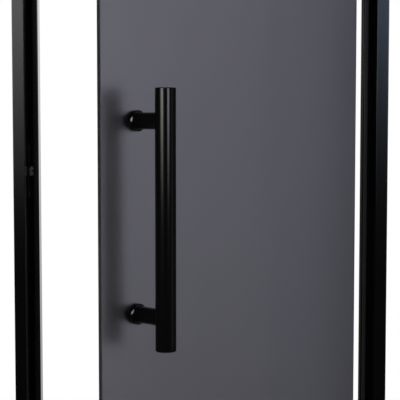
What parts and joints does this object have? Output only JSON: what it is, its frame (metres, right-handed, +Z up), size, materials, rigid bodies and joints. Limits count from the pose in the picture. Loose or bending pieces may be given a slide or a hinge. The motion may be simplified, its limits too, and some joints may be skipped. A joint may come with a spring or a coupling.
{
  "type": "framed glass door",
  "caption": "Smoked satin glass door leaf standing ajar in a slim black rebated frame, with a round pull handle, side hinges and a roller catch.",
  "frame": {"origin": "under the middle of the threshold, at half of the frame's depth", "axes": "+Z up; seen from outside, +X to the right towards the hinge jamb and +Y into the building; the leaf swings towards -Y"},
  "size_m": [0.69, 0.5168, 1.89],
  "materials": {
    "frame_coat": "satin black powder coat on extruded aluminium",
    "hinge_coat": "satin black coat on steel",
    "handle_coat": "satin black coat on steel tube",
    "smoked_glass": "toughened, smoked grey, satin",
    "seal_rubber": "matt black",
    "gasket_rubber": "matt black sheet",
    "cleat_aluminium": "mill finish",
    "screw_steel": "blackened steel",
    "bush_brass": "turned",
    "sleeve_nylon": "natural nylon",
    "roller_nylon": "dark brown nylon",
    "catch_black": "black coat on steel",
    "catch_steel": "zinc plated steel"
  },
  "bodies": {
    "frame": {"catch_face_plate": "catch_black", "catch_housing": "catch_steel", "catch_lid": "catch_steel", "catch_screws": "catch_steel", "catch_spring": "catch_steel", "cleat_hinge_high": "cleat_aluminium", "cleat_hinge_low": "cleat_aluminium", "cleat_screws": "screw_steel", "cleat_strike_high": "cleat_aluminium", "cleat_strike_low": "cleat_aluminium", "frame_head": "frame_coat", "frame_hinge": "frame_coat", "frame_strike": "frame_coat", "frame_threshold": "frame_coat", "hinge_lower_backing": "hinge_coat", "hinge_lower_jamb_plate": "hinge_coat", "hinge_lower_pin": "hinge_coat", "hinge_screws": "screw_steel", "hinge_upper_backing": "hinge_coat", "hinge_upper_jamb_plate": "hinge_coat", "hinge_upper_pin": "hinge_coat", "seal_head": "seal_rubber", "seal_hinge": "seal_rubber", "seal_strike": "seal_rubber", "seal_threshold": "seal_rubber"},
    "leaf": {"clamp_bolts": "screw_steel", "clamp_sleeves": "sleeve_nylon", "glass_pane": "smoked_glass", "handle_back_gaskets": "gasket_rubber", "handle_back_plate_lower": "handle_coat", "handle_back_plate_upper": "handle_coat", "handle_bar": "handle_coat", "handle_bolts": "screw_steel", "handle_cap_lower": "handle_coat", "handle_cap_upper": "handle_coat", "handle_gasket_lower": "gasket_rubber", "handle_gasket_upper": "gasket_rubber", "handle_post_lower": "handle_coat", "handle_post_upper": "handle_coat", "handle_rosette_lower": "handle_coat", "handle_rosette_upper": "handle_coat", "handle_sleeves": "sleeve_nylon", "hinge_lower_back_clamp": "hinge_coat", "hinge_lower_back_gasket": "gasket_rubber", "hinge_lower_bushes": "bush_brass", "hinge_lower_front_clamp": "hinge_coat", "hinge_lower_front_gasket": "gasket_rubber", "hinge_upper_back_clamp": "hinge_coat", "hinge_upper_back_gasket": "gasket_rubber", "hinge_upper_bushes": "bush_brass", "hinge_upper_front_clamp": "hinge_coat", "hinge_upper_front_gasket": "gasket_rubber"},
    "catch_plunger": {"catch_plunger": "catch_steel", "catch_pin": "catch_steel"},
    "catch_roller": {"catch_roller": "roller_nylon"}
  },
  "joints": [
    {"name": "leaf_swing", "type": "hinge", "parent": "frame", "child": "leaf", "pos_m": [0.3125, -0.0265, 0.945], "axis": [0, 0, 1], "range_deg": [-46, 64]},
    {"name": "catch_press", "type": "slide", "parent": "frame", "child": "catch_plunger", "axis": [-1, 0, 0], "range_m": [0, 0.005], "stiffness_N_per_m": 1500, "springref_m": -0.003, "deforming": ["catch_spring"]},
    {"name": "roller_spin", "type": "hinge", "parent": "catch_plunger", "child": "catch_roller", "pos_m": [-0.3205, 0, 1.055], "axis": [0, 0, 1], "continuous": true}
  ]
}
